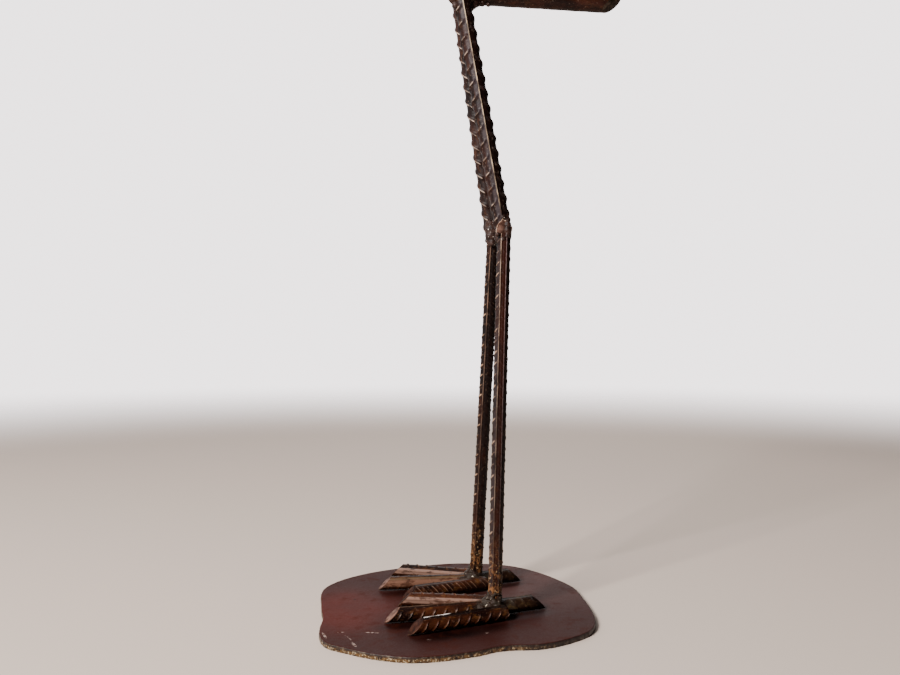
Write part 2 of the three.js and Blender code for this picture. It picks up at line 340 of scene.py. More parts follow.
def show(shader):
    addNode("OutputMaterial", [("Surface", shader)])


def readAttribute(name, output="Fac"):
    return addNode("Attribute", attribute_name=name)[output]


def objectPlace():
    return addNode("TexCoord")["Object"]


def partsOf(vector):
    return addNode("SeparateXYZ", [(0, vector)])


def lengthOf(vector):
    return addNode("VectorMath", [(0, vector)], operation="LENGTH")["Value"]


def texture(scale, detail, roughness, **more):
    # the settings of a noise; low and high are for patches, which show where the noise passes them
    return dict(scale=scale, detail=detail, roughness=roughness, **more)


def noiseOn(vector, scale, detail, roughness, stretch=(1, 1, 1), shift=0.0):
    place = addNode("Mapping", [("Vector", vector), ("Scale", stretch), ("Location", (shift,) * 3)])[0]
    return addNode("TexNoise", [("Vector", place), ("Scale", scale), ("Detail", detail),
                                      ("Roughness", roughness)])[0]


def ramp(value, low, high, lowTo=0.0, highTo=1.0):
    spread = [("Value", value), ("From Min", low), ("From Max", high), ("To Min", lowTo), ("To Max", highTo)]
    return addNode("MapRange", spread, interpolation_type="SMOOTHSTEP")[0]


def patches(vector, low, high, least=0.0, **cloud):
    return ramp(noiseOn(vector, **cloud), low, high, least)


def blendColour(factor, first, second):
    first, second = [(*tint, 1) if isinstance(tint, tuple) else tint for tint in (first, second)]
    mixed = addNode("Mix", [(0, factor), (6, first), (7, second)], data_type="RGBA")
    return mixed[2]  # the mix node's sockets for colour: 6 and 7 in, 2 out


def sums(kind, *values):
    return addNode("Math", enumerate(values), operation=kind)[0]


def product(first, *others):
    for other in others:
        first = sums("MULTIPLY", first, other)
    return first


def nearPoint(place, point, inner, outer, stretch=(1, 1, 0)):
    # 1 within inner of a point, 0 beyond outer
    shift = [-p * s for p, s in zip(point, stretch)]
    away = addNode("Mapping", [("Vector", place), ("Location", shift), ("Scale", stretch)])[0]
    return ramp(lengthOf(away), inner, outer, 1.0, 0.0)


def ellipse(place, point, length, width, turn, inner):
    # 1 in the middle of a turned ellipse, 0 beyond its rim
    pose = [("Vector", place), ("Location", (*point, 0)), ("Rotation", (0, 0, radians(turn)))]
    turned = addNode("Mapping", pose, vector_type="TEXTURE")[0]
    return nearPoint(turned, (0, 0, 0), inner, 1.0, (1 / length, 1 / width, 0))


def showPaint(colour, matt, relief, surface, shine, metallic=0.0):
    normal = addNode("Bump", [("Strength", surface["strength"]), ("Distance", surface["depth"]),
                              ("Height", relief)])[0]
    show(addNode("BsdfPrincipled", [
        ("Base Color", colour), ("Roughness", matt), ("Specular IOR Level", shine), ("Metallic", metallic),
        ("Normal", normal)])[0])


# Paint of the bars. Its noises lie on each bar as if that were straight: X ahead of its core, Y beside it

barTexture = {
    "clouds": texture(75, 5, 0.62, stretch=(1, 1, 0.4), low=0.38, high=0.64),
    "glow": texture(210, 4, 0.6, stretch=(1, 1, 0.5), shift=3.0, low=0.52, high=0.7),
    "specks": texture(560, 2, 0.5, stretch=(1, 1, 0.7), shift=7.0, low=0.63, high=0.68),
    "broken": texture(190, 4, 0.65, stretch=(1, 1, 0.45), shift=5.0, low=0.34, high=0.56),
    "patchy": texture(62, 2, 0.5, shift=9.0, low=0.36, high=0.62, least=0.25),
    "blooms": texture(260, 6, 0.75, stretch=(1, 1, 0.7), shift=15.0, low=0.46, high=0.6),
    "bright": texture(420, 3, 0.6, shift=19.0, low=0.6, high=0.68),
    "dust": texture(240, 5, 0.7, shift=21.0, low=0.42, high=0.6)}
barGrain = texture(1500, 3, 0.6)
barPits = texture(380, 4, 0.6, shift=11.0)
barSurface = {"grain": 0.5, "depth": 0.0003, "strength": 0.6, "smoother": 0.05, "rougher": 0.1}
barSpans = {
    # each ramp's start and end, and its two values where they aren't 0 and 1
    "grain": (0.3, 0.7), "laneFront": (-0.003, -0.002), "laneRagged": (0.1, 0.9, 0.3, 1.0),
    "lineCrest": (0.3, 0.9), "lineBroken": (0.0, 0.6, 0.3, 1.0),
    "strokes": (0.15, 0.9), "strokesPatchy": (0.2, 0.9, 0.6, 1.0), "strokesBroken": (0.1, 0.85, 0.08, 1.0),
    "seam": (0.0001, 0.0006, 1.0, 0.0), "seamHighlightHeight": (0.08, 0.36, 0.2, 0.9), "seamHighlightFront": (0.001, 0.002),
    "bandStart": (0.0005, 0.001), "bandSeam": (0.0, 0.0008), "bandClouds": (0.0, 1.0, 0.4, 0.9)}
laneSoft = {"low": 0.0004, "high": 0.0003}
crestLineShape = {"wander": 0.0003, "solid": 0.0002, "underRust": 0.7}


def withLane(colour, marks, parts, low, high, tint, share):
    # a ragged strip of another tint along the bar, between two places beside its front
    start, end = laneSoft["low"], laneSoft["high"]
    strip = product(ramp(parts[1], low - start, low + start),
                    ramp(parts[1], high - end, high + end, share, 0.0),
                    ramp(parts[0], *barSpans["laneFront"]),
                    ramp(sums("ADD", marks["broken"], marks["glow"]), *barSpans["laneRagged"]))
    return blendColour(strip, colour, tint)


def crestLine(look, marks, parts, place, height):
    # the bright line on the long rib that faces forward: scuffed paint and a painted highlight together
    wander = product(marks["broken"], crestLineShape["wander"])
    off = sums("ABSOLUTE", sums("ADD", parts[1], wander))
    line = product(ramp(off, crestLineShape["solid"], look["lineWidth"], 1.0, 0.0),
                   ramp(readAttribute("crest"), *barSpans["lineCrest"]), marks["patchy"],
                   ramp(marks["broken"], *barSpans["lineBroken"]))
    # lineAt keeps the line to one spot, where it is a painted highlight
    if "lineAt" in look:
        line = product(line, nearPoint(place, *look["lineAt"]))
    if "fade" in look:
        low, high, least = look["fade"]
        line = product(line, ramp(height, low, high, least))
    return line


# bright strokes on the slanting ribs' crests: scuffed paint and a painted highlight together
def brightStrokes(look, marks):
    return product(ramp(readAttribute("stroke"), *barSpans["strokes"]), look["strokeShare"],
                   ramp(marks["patchy"], *barSpans["strokesPatchy"]),
                   ramp(marks["broken"], *barSpans["strokesBroken"]))


def withSeamHighlight(colour, look, marks, parts, height):
    # a painted highlight: a thin pale line down the front of a bar, where a faint seam runs, with a red band
    # of painted half-shade beside it
    turn = radians(look["seam"])
    beside = sums("SUBTRACT", product(parts[0], sin(turn)), product(parts[1], cos(turn)))
    band = product(ramp(parts[1], *barSpans["bandStart"]),
                   ramp(beside, *barSpans["bandSeam"]),
                   ramp(marks["clouds"], *barSpans["bandClouds"]))
    thin = product(ramp(sums("ABSOLUTE", beside), *barSpans["seam"]),
                   ramp(height, *barSpans["seamHighlightHeight"]), ramp(parts[0], *barSpans["seamHighlightFront"]))
    colour = blendColour(band, colour, look["band"])
    return blendColour(thin, colour, look["seamHighlightColour"])


def withPatches(colour, lane, kind, share, tint):
    patch = product(patches(lane, **barTexture[kind]), share)
    return blendColour(patch, colour, tint)


def barPaint(name, look):
    finish = newFinish(name)
    lane = readAttribute("straight", "Vector")
    marks = {key: patches(lane, **barTexture[key])
             for key in ("clouds", "glow", "specks", "broken", "patchy")}
    parts = partsOf(lane)
    place = objectPlace()
    height = partsOf(place)[2]
    colour = blendColour(marks["clouds"], look["dark"], look["brown"])
    colour = blendColour(product(marks["glow"], look["glow"]), colour, look["ochre"])
    for strip in look.get("lanes", ()):
        colour = withLane(colour, marks, parts, *strip)
    line = crestLine(look, marks, parts, place, height)
    brightMarks = brightStrokes(look, marks)
    if "rustBelow" in look:
        rusty = ramp(height, *look["rustBelow"], 1.0, 0.0)
        brightMarks = product(brightMarks, sums("SUBTRACT", 1.0, rusty))
        covered = product(rusty, crestLineShape["underRust"])
        line = product(line, sums("SUBTRACT", 1.0, covered))
    brightMarks = sums("MAXIMUM", brightMarks, product(marks["specks"], look["specks"]))
    # the strokes, scuffed paint and painted highlight, and specks of scuffed paint
    colour = blendColour(brightMarks, colour, look["wornAndHighlit"])
    # the crest line: scuffed paint and a painted highlight
    colour = blendColour(product(line, look["line"]), colour, look["lineColour"])
    # a painted highlight line and a red band of painted half-shade
    if "seam" in look:
        colour = withSeamHighlight(colour, look, marks, parts, height)
    if "rustBelow" in look:
        colour = withPatches(colour, lane, "blooms", rusty, look["rust"])
        colour = withPatches(colour, lane, "bright", rusty, look["rustBright"])
    for spot in look.get("dusty", ()):
        colour = withPatches(colour, lane, "dust", nearPoint(place, *spot), look["dust"])
    grains = noiseOn(lane, **barGrain)
    matt = ramp(grains, *barSpans["grain"], look["matt"] - barSurface["smoother"],
                look["matt"] + barSurface["rougher"])
    relief = sums("ADD", product(grains, barSurface["grain"]), noiseOn(lane, **barPits))
    showPaint(colour, matt, relief, barSurface, look["shine"])
    return finish


# Paint of the saw cuts: fine drag lines under thin, rubbed paint

cutLines = texture(900, 3, 0.5, stretch=(0.25, 1, 1))
cutClouds = texture(200, 4, 0.6, shift=2.0, low=0.36, high=0.64)
cutSurface = {"shine": 0.1, "matt": (0.3, 0.7, 0.5, 0.7), "depth": 0.0003, "strength": 0.6}


def cutPaint(name, dark, pale):
    finish = newFinish(name)
    place = objectPlace()
    lines = noiseOn(place, **cutLines)
    colour = blendColour(patches(place, **cutClouds), dark, pale)
    matt = ramp(lines, *cutSurface["matt"])
    showPaint(colour, matt, lines, cutSurface, cutSurface["shine"])
    return finish


# Paint of the welds

weldClouds = texture(170, 5, 0.6)
weldGrains = texture(1100, 3, 0.6, shift=4.0)
weldGlints = texture(420, 2, 0.5, shift=9.0, low=0.67, high=0.71)
weldSurface = {"clouds": (0.36, 0.64), "matt": (0.3, 0.7, 0.38, 0.58), "metal": 0.6, "depth": 0.0005,
               "strength": 0.7}


def weldPaint(name, look):
    finish = newFinish(name)
    place = objectPlace()
    clouds = noiseOn(place, **weldClouds)
    grains = noiseOn(place, **weldGrains)
    glints = patches(place, **weldGlints)
    colour = blendColour(ramp(clouds, *weldSurface["clouds"]), look["brown"], look["grey"])
    colour = blendColour(glints, colour, look["glint"])
    matt = ramp(grains, *weldSurface["matt"])
    relief = sums("ADD", grains, clouds)
    showPaint(colour, matt, relief, weldSurface, look["shine"], product(glints, weldSurface["metal"]))
    return finish


# Paint of the plate: areas and scratches are turned ellipses, each a place, two half-widths and a turn

plateTexture = {
    "clouds": texture(13, 6, 0.62, low=0.36, high=0.64),
    "blots": texture(70, 5, 0.65, shift=3.0, low=0.5, high=0.72),
    "dust": texture(420, 4, 0.6, shift=5.0, low=0.62, high=0.74),
    "flakes": texture(420, 4, 0.7, shift=12.0, low=0.46, high=0.56)}
plateGrain = texture(1300, 3, 0.6, shift=8.0)
plateDents = texture(120, 5, 0.6, shift=1.0)
plateSurface = {"areaCore": 0.3, "areaClouds": (0.0, 1.0, 1.0, 0.7), "scratchCore": 0.7, "rust": 0.4,
                "dust": 0.12, "matt": (0.3, 0.7, 0.46, 0.58), "blotMatt": 0.1, "grain": 0.35, "depth": 0.0004,
                "strength": 0.5}


def platePaint(name, look):
    finish = newFinish(name)
    place = objectPlace()
    marks = {key: patches(place, **cloud) for key, cloud in plateTexture.items()}
    grains = noiseOn(place, **plateGrain)
    colour = blendColour(marks["clouds"], look["maroon"], look["violet"])
    clouded = ramp(marks["clouds"], *plateSurface["areaClouds"])
    for *shape, tint, share in look["areas"]:
        area = product(ellipse(place, *shape, plateSurface["areaCore"]), share, clouded)
        colour = blendColour(area, colour, tint)
    colour = blendColour(product(marks["blots"], plateSurface["rust"]), colour, look["rust"])
    colour = blendColour(product(marks["dust"], plateSurface["dust"]), colour, look["dust"])
    scratches = None
    for *shape, strength in look["scratches"]:
        mark = product(ellipse(place, *shape, plateSurface["scratchCore"]), strength)
        scratches = mark if scratches is None else sums("MAXIMUM", scratches, mark)
    scratches = product(scratches, marks["flakes"])
    colour = blendColour(scratches, colour, look["scratch"])
    matt = sums("ADD", ramp(grains, *plateSurface["matt"]), product(marks["blots"], plateSurface["blotMatt"]))
    relief = sums("ADD", product(grains, plateSurface["grain"]),
                  sums("SUBTRACT", noiseOn(place, **plateDents), scratches))
    showPaint(colour, matt, relief, plateSurface, look["shine"])
    return finish


# Paint of the plate's cut rim: drag lines, with flakes of gold low on the side that faces left, and a painted
# highlight along its top edge

edgeDrag = texture(420, 3, 0.5, stretch=(1, 1, 0.12))
edgeFlakes = texture(230, 6, 0.8, stretch=(1, 1, 1.3), shift=2.0, low=0.42, high=0.56)
edgeSpecks = texture(520, 3, 0.6, shift=6.0, low=0.52, high=0.6)
edgeSurface = {"goldHeight": (0.0018, 0.0036, 1.0, 0.1), "goldLeftward": (0.0, 0.08, 1.0, 0.1),
               "cornerHeight": (0.0046, 0.0051), "cornerHighlight": 0.5, "metal": 0.3, "shine": 0.5,
               "matt": (0.3, 0.7, 0.4, 0.6), "depth": 0.0006, "strength": 0.8}


def edgePaint(name, look):
    finish = newFinish(name)
    place = objectPlace()
    parts = partsOf(place)
    drag = noiseOn(place, **edgeDrag)
    golden = product(patches(place, **edgeFlakes),
                     ramp(parts[2], *edgeSurface["goldHeight"]),
                     ramp(parts[0], *edgeSurface["goldLeftward"]))
    specks = product(patches(place, **edgeSpecks), golden)
    # a painted highlight along the rim's top edge
    cornerHighlight = product(ramp(parts[2], *edgeSurface["cornerHeight"]), edgeSurface["cornerHighlight"])
    colour = blendColour(golden, look["dark"], look["gold"])
    colour = blendColour(specks, colour, look["bare"])
    colour = blendColour(cornerHighlight, colour, look["cornerHighlight"])
    matt = ramp(drag, *edgeSurface["matt"])
    showPaint(colour, matt, drag, edgeSurface, edgeSurface["shine"], edgeSurface["metal"])
    return finish


# Looks: colours, shares from 0 to 1, and sizes in metres as the paints read them

thighLook = {
    "dark": (0.004, 0.0012, 0.001), "brown": (0.019, 0.006, 0.0042), "glow": 0.45,
    "ochre": (0.07, 0.027, 0.012), "wornAndHighlit": (0.5, 0.38, 0.3), "strokeShare": 0.85, "specks": 0.1,
    "shine": 0.15, "matt": 0.42, "line": 1.0, "lineColour": (0.42, 0.32, 0.22), "lineWidth": 0.00065,
    "fade": (0.372, 0.4, 0.0)}
shinLook = {
    "dark": (0.0022, 0.0005, 0.0004), "brown": (0.013, 0.0028, 0.0013), "glow": 0.4,
    "ochre": (0.05, 0.016, 0.005), "wornAndHighlit": (0.38, 0.24, 0.15), "strokeShare": 1.0, "specks": 0.08,
    "shine": 0.14, "matt": 0.42, "line": 0.6, "lineColour": (0.22, 0.14, 0.1), "lineWidth": 0.0007,
    "fade": (0.06, 0.34, 0.35),
    "rustBelow": (0.02, 0.085), "rust": (0.16, 0.07, 0.026), "rustBright": (0.4, 0.27, 0.14)}
ankleDust = {"dusty": [((0.03, -0.042, 0), 0.008, 0.026), ((0.0305, 0.0477, 0), 0.008, 0.026)],
             "dust": (0.022, 0.018, 0.013)}
toeLook = {
    "dark": (0.006, 0.0014, 0.0008), "brown": (0.04, 0.0105, 0.0034), "glow": 0.5,
    "ochre": (0.12, 0.047, 0.012), "wornAndHighlit": (0.28, 0.16, 0.1), "strokeShare": 0.75, "specks": 0.12,
    "shine": 0.13, "matt": 0.42, "line": 0.2, "lineColour": (0.3, 0.19, 0.13), "lineWidth": 0.0007,
    **ankleDust}
bodyLook = {
    "dark": (0.006, 0.0014, 0.001), "brown": (0.028, 0.0075, 0.004), "glow": 0.35,
    "ochre": (0.07, 0.026, 0.01), "wornAndHighlit": (0.38, 0.28, 0.21), "strokeShare": 0.7, "specks": 0.1,
    "shine": 0.17, "matt": 0.46, "line": 0.6, "lineColour": (0.38, 0.28, 0.21), "lineWidth": 0.0008}
# lanes of painted shade along a toe's top: where each starts and ends beside the front, its tint and share
toeTopShade = (-0.0026, 0.005, (0.009, 0.003, 0.0018), 0.9)
toeTopDeeperShade = (-0.0026, 0.005, (0.004, 0.0012, 0.0007), 0.97)
barLooks = {
    "near_thigh": {
        # lanes: a painted reflection, lilac-grey, beside the forward crest, and painted shade on the right
        # half
        **thighLook, "lanes": [(-0.0044, -0.0006, (0.022, 0.015, 0.018), 0.8),
                               (0.0006, 0.009, (0.004, 0.001, 0.0007), 0.9)]},
    "far_thigh": {**thighLook, "line": 0.1},
    "near_shin": {
        # seam is the turn of a painted highlight line down the shin; band is a red band of painted half-shade
        # beside it
        **shinLook, "wornAndHighlit": (0.34, 0.23, 0.16), "line": 0.8, "lineColour": (0.32, 0.23, 0.17), "seam": 44,
        "seamHighlightColour": (0.18, 0.125, 0.125), "band": (0.018, 0.0028, 0.0008), "lineWidth": 0.0006,
        # lanes: a painted reflection, lilac-grey, beside the forward crest, and painted shade on the right
        # half
        "lanes": [(-0.0045, -0.0006, (0.024, 0.017, 0.018), 0.6),
                  (0.0044, 0.008, (0.003, 0.0008, 0.0006), 0.95)]},
    # lane: painted shade on the right half
    "far_shin": {**shinLook, "lanes": [(0.0006, 0.008, (0.004, 0.0011, 0.0008), 0.95)]},
    "toe": {**toeLook, "lanes": [toeTopShade]},
    "highlit_toe": {
        # a painted highlight: a bright crest line kept by lineAt to one stretch of the toe, over a top lane
        # of painted shade
        **toeLook, "line": 1.5, "lineColour": (0.7, 0.64, 0.61), "lineWidth": 0.0006,
        "lineAt": ((-0.033, -0.066, 0), 0.014, 0.019), "lanes": [toeTopDeeperShade]},
    "darker_toe": {
        # darker all over, with a yellow-green ochre
        **toeLook, "dark": (0.004, 0.0013, 0.0008), "brown": (0.018, 0.0075, 0.0035),
        "ochre": (0.085, 0.056, 0.022), "strokeShare": 0.3},
    # a pale lane of painted light along the toe's lit front
    "pale_toe": {**toeLook, "line": 0.0, "lanes": [(-0.0034, 0.0024, (0.165, 0.096, 0.071), 1.0)]},
    # ochre lanes of painted light along the toe's lit front and top
    "ochre_toe": {
        **toeLook, "strokeShare": 0.2, "lanes": [(-0.0056, -0.0006, (0.135, 0.066, 0.042), 1.0),
                                          (-0.0004, 0.0026, (0.085, 0.046, 0.021), 0.9)]},
    "body": bodyLook,
}
barPaints = {name: barPaint(f"{name}_paint", look) for name, look in barLooks.items()}
# each cut's darker and paler tint
cutLooks = {
    "cut_face": ((0.01, 0.0026, 0.0012), (0.036, 0.0105, 0.0045)),
    "pale_cut_face": ((0.05, 0.022, 0.015), (0.17, 0.095, 0.072)),
    "keel_end_face": ((0.012, 0.008, 0.006), (0.075, 0.055, 0.042)),
    "burr": ((0.012, 0.004, 0.0025), (0.06, 0.025, 0.014)),
    "bright_burr": ((0.16, 0.1, 0.07), (0.55, 0.42, 0.32))}
cutFace, paleCutFace, endFace, burr, brightBurr = [cutPaint(name, *tints) for name, tints in cutLooks.items()]
weldMetal = weldPaint("weld_metal", {
    "brown": (0.009, 0.003, 0.002), "grey": (0.03, 0.013, 0.009), "glint": (0.7, 0.64, 0.58), "shine": 0.25})
footWeld = weldPaint("foot_weld", {
    "brown": (0.014, 0.006, 0.003), "grey": (0.024, 0.018, 0.013), "glint": (0.3, 0.26, 0.2), "shine": 0.14})
toeShade = (0.004, 0.001, 0.0008)
footShade = (0.018, 0.004, 0.0028)
plateFace = platePaint("plate_face", {
    "maroon": (0.032, 0.0068, 0.0048), "violet": (0.031, 0.0115, 0.01), "rust": (0.046, 0.0095, 0.0042),
    "dust": (0.12, 0.08, 0.07), "scratch": (0.5, 0.38, 0.33), "shine": 0.04,
    # areas: a painted reflection, red, on the left, and one, violet-grey, at the back right; painted shade
    # round both feet; painted shadows along and under the toes
    "areas": [((-0.1, 0), 0.09, 0.09, 0, (0.08, 0.0105, 0.0062), 0.75),
              ((0.11, 0.06), 0.13, 0.13, 0, (0.075, 0.038, 0.035), 0.7),
              ((-0.02, -0.05), 0.085, 0.085, 0, footShade, 0.8),
              ((-0.02, 0.05), 0.08, 0.08, 0, footShade, 0.7),
              ((0.06, -0.045), 0.036, 0.016, 13, (0.03, 0.024, 0.025), 0.9),
              ((-0.004, -0.08), 0.066, 0.019, 16, toeShade, 0.97),
              ((-0.04, -0.055), 0.05, 0.014, 4, toeShade, 0.97),
              ((-0.02, -0.022), 0.046, 0.013, -16, toeShade, 0.9),
              ((-0.005, 0.01), 0.055, 0.018, 14, toeShade, 0.9),
              ((-0.03, 0.038), 0.05, 0.015, -2, toeShade, 0.9),
              ((-0.01, 0.068), 0.052, 0.014, -25, toeShade, 0.9),
              ((0.062, -0.04), 0.026, 0.008, 13, toeShade, 0.9),
              ((0.06, 0.047), 0.032, 0.011, 13, toeShade, 0.9),
              ((-0.0921, 0.0271), 0.0016, 0.0024, 0, (0.006, 0.002, 0.001), 1.0)],
    "scratches": [((-0.1103, -0.0627), 0.0036, 0.0008, -10, 0.7),
                  ((-0.0841, -0.0683), 0.0075, 0.0011, -17, 0.7),
                  ((-0.1048, -0.0773), 0.008, 0.0007, -70, 0.5),
                  ((-0.1013, -0.0941), 0.0075, 0.0016, -76, 0.45),
                  ((-0.1245, -0.0683), 0.009, 0.0013, -80, 0.8),
                  ((-0.0385, -0.0938), 0.0022, 0.001, 0, 0.4),
                  ((0.0133, -0.0859), 0.0015, 0.0015, 0, 1.0)]})
plateEdge = edgePaint("plate_edge", {
    "dark": (0.009, 0.003, 0.0024), "gold": (0.14, 0.075, 0.022), "bare": (0.55, 0.46, 0.3),
    "cornerHighlight": (0.05, 0.018, 0.014)})
print("finishes ready")


# Plate

plate = {"bevel": 0.9, "rimCuts": 5, "merge": 0.01, "flatWithin": 0.5, "levelWithin": 2.0, "topAbove": 4.0,
         "ripple": 0.28, "rippleBelow": 4.9, "waves": (61, 97, 143, 211), "seed": 5, "flatNormal": 0.9}


def makePlate():
    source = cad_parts["base_plate"]
    bm = bmesh.new()
    bm.from_mesh(source.data)
    bmesh.ops.remove_doubles(bm, verts=bm.verts, dist=plate["merge"] * mm)
    bmesh.ops.dissolve_limit(bm, angle_limit=radians(plate["flatWithin"]), verts=bm.verts, edges=bm.edges)
    rims = [e for e in bm.edges if abs(e.verts[0].co.z - e.verts[1].co.z) < plate["levelWithin"] * mm]
    bmesh.ops.subdivide_edges(bm, edges=rims, cuts=plate["rimCuts"], use_grid_fill=True, smooth=0.0)
    topRim = [e for e in bm.edges if min(v.co.z for v in e.verts) > plate["topAbove"] * mm]
    bmesh.ops.bevel(bm, geom=topRim, offset=plate["bevel"] * mm, offset_type="OFFSET", segments=2,
                    profile=0.5, affect="EDGES", material=-1)
    rng = random.Random(plate["seed"])
    phases = [rng.uniform(0, 6.3) for _ in plate["waves"]]
    for v in bm.verts:
        angle = np.arctan2(v.co.y, v.co.x)
        wave = sum(sin(angle * n + p) for n, p in zip(plate["waves"], phases)) / len(phases)
        if v.co.z < plate["rippleBelow"] * mm:
            v.co.xy *= 1 + wave * plate["ripple"] * mm / v.co.xy.length
    for face in bm.faces:
        face.material_index = 0 if face.normal.z > plate["flatNormal"] else 1
        face.smooth = face.normal.z < plate["flatNormal"]
    return newPiece("plate", meshOf("plate", bm))


dress(makePlate(), "plate", ["base_plate"], plateFace, plateEdge)
print("plate ready")


# Feet and legs

sides = {"near": -1, "far": 1}
ankle = {"near": 29.9, "far": 30.5, "spread": 44.7, "z": 5.3}
knee = {"near": 43.5, "far": 44.2, "spread": 23.9, "z": 354.0, "cut": 24.0}
hip = {"near": 1.5, "far": 8.1, "spread": 17.4, "z": 588.0}
shins = {
    "near": {**legBar, "facing": (-0.532, -0.843), "slant": 1.18, "pitch": 10.3, "phase": 7.9},
    "far": {**legBar, "facing": (-0.516, -0.856), "slant": 0.95, "pitch": 9.95, "phase": 1.9},
}
thighs = {
    "near": {**thighBar, "facing": (-0.11, -0.994), "slant": 1.0, "pitch": 14.03, "phase": 10.4},
    "far": {**thighBar, "facing": (0.03, -1.0), "slant": -1.3, "pitch": 13.7, "phase": 10.0, "stagger": 0.0,
            "strokeAt": 0.68, "strokeSpan": 0.17, "strokeWidth": 0.8},
}
toes = {
    "near": {
        "inner": {"start": (-3.8, 16.9), "heading": 163.5, "length": 83.0, "facing": (0.1, -1, 0.25),
                  "strokeRight": 1.0, "strokeAt": 0.3, "paint": "pale_toe"},
        "middle": {"start": (-7.4, 1.0), "heading": 184.2, "length": 93.2, "facing": (0, -0.1, 1),
                   "paleEnd": True},
        "outer": {"start": (7.1, -14.2), "heading": 196.0, "length": 94.6, "facing": (0, -0.1, 1),
                  "paint": "highlit_toe"},
        "back": {"start": (7.9, 2.0), "heading": 13.0, "length": 43.4, "facing": (0, 0.3, 1),
                 "paint": "darker_toe"},
    },
    "far": {
        "outer": {"start": (2.0, 15.5), "heading": 155.4, "length": 88.9, "facing": (0.1, -1, 0.2),
                  "strokeRight": 1.0, "strokeAt": 0.3, "paint": "pale_toe"},
        "middle": {"start": (-7.4, 0.0), "heading": 177.5, "length": 90.0, "facing": (0, -0.8, 0.7),
                   "rib": 0.35, "paint": "ochre_toe", "paleEnd": True},
        "inner": {"start": (7.5, -14.2), "heading": 194.0, "length": 88.0, "facing": (0, 0.35, 1),
                  "slant": 1.3, "pitch": 5.1, "ribWidth": 1.9, "rib": 0.7, "strokeSpan": 0.2},
        "back": {"start": (7.9, 3.0), "heading": 13.5, "length": 42.0, "facing": (0, 0.3, 1),
                 "paint": "darker_toe"},
    },
}
toeAxis = 12.25
toeCut = 13.0
legSeeds = {"shin": 1.3, "thigh": 2.2, "toe": 3.7}
footBeads = {
    "floor": 5.4, "flat": 0.8,
    # beads on the toes' ends: X and Y from the leg, height and radius
    "spread": [(0, 0, 15.5, 8), (-7, 0, 14.5, 7), (-12, 4, 13.5, 5.6), (-13, -4, 13, 5.6), (6, 1, 14.5, 6),
               (10, 3, 13.5, 4.6), (1, -6, 14, 6), (0, 7, 14, 6), (3, -10, 13, 4.6), (-5, -7, 13.5, 5),
               (-6, 8, 13.5, 5), (-17, 1, 13.5, 3.4)],
    # rings round the leg: radius of the ring, height, radius of the beads and lean with the leg
    "collar": [(6.8, 18, 3.2, 1.4), (5.8, 21, 2.5, 0.8), (5.2, 24.5, 1.9, 0.3)],
    "ringBeads": 12, "ringWave": 1.5}


def makeToe(label, name, toe, foot, seed):
    forward = np.array((cos(radians(toe["heading"])), sin(radians(toe["heading"])), 0.0))
    first = np.array((foot[0] + toe["start"][0], foot[1] + toe["start"][1], toeAxis))
    last = first + forward * (toe["length"] - toeCut / 2)
    cut = (last, forward * 2 * toeBar["core"] + upward * toeCut)
    claw = makeBar(f"{label}_{name}_claw", routeOf([first, last]), toeBar["core"], {**toeBar, **toe},
                   np.array(toe["facing"], float), [(first, -forward)], [cut], seed)
    dress(claw, "ribbed_bar", [f"{label}_{name}_toe"], barPaints[toe.get("paint", "toe")],
          paleCutFace if toe.get("paleEnd") else cutFace, burr)


def makeLeg(label):
    side = sides[label]
    foot = np.array((ankle[label], middleY + side * ankle["spread"], ankle["z"]))
    bend = np.array((knee[label], middleY + side * knee["spread"], knee["z"]))
    top = np.array((hip[label], middleY + side * hip["spread"], hip["z"]))
    scarf = np.array((0, knee["cut"], 2 * thighBar["core"]))
    lift = scarf / np.linalg.norm(scarf) * gap
    shin, thigh = shins[label], thighs[label]
    lower = makeBar(f"{label}_shin", routeOf([foot, bend]), shin["core"], shin,
                    np.array((*shin["facing"], 0)), [(foot, -upward)],
                    [(bend - lift, scarf), (bend, upward)], legSeeds["shin"] + side)
    upper = makeBar(f"{label}_thigh", routeOf([bend, top]), thigh["core"], thigh,
                    np.array((*thigh["facing"], 0)), [(bend + lift, -scarf)], [(top, upward)],
                    legSeeds["thigh"] + side)
    dress(lower, "ribbed_bar", [f"{label}_lower_leg"], barPaints[f"{label}_shin"], cutFace, burr)
    ends = (paleCutFace, brightBurr) if label == "near" else (cutFace, burr)
    dress(upper, "ribbed_bar", [f"{label}_upper_leg"], barPaints[f"{label}_thigh"], *ends)
    for number, (name, toe) in enumerate(toes[label].items()):
        makeToe(label, name, toe, foot, legSeeds["toe"] + side + number)

    turns = np.linspace(0, 2 * pi, footBeads["ringBeads"], endpoint=False)
    collar = [(ring * cos(turn) - lean, ring * sin(turn),
               high + footBeads["ringWave"] * sin(3 * turn + high), size)
              for ring, high, size, lean in footBeads["collar"] for turn in turns]
    beads = [(foot[0] + x, foot[1] + y, z, size) for x, y, z, size in footBeads["spread"] + collar]
    makeWeld(f"{label}_foot_weld", beads, footWeld, [f"{label}_ankle_weld"], footBeads["floor"],
             flat=footBeads["flat"])


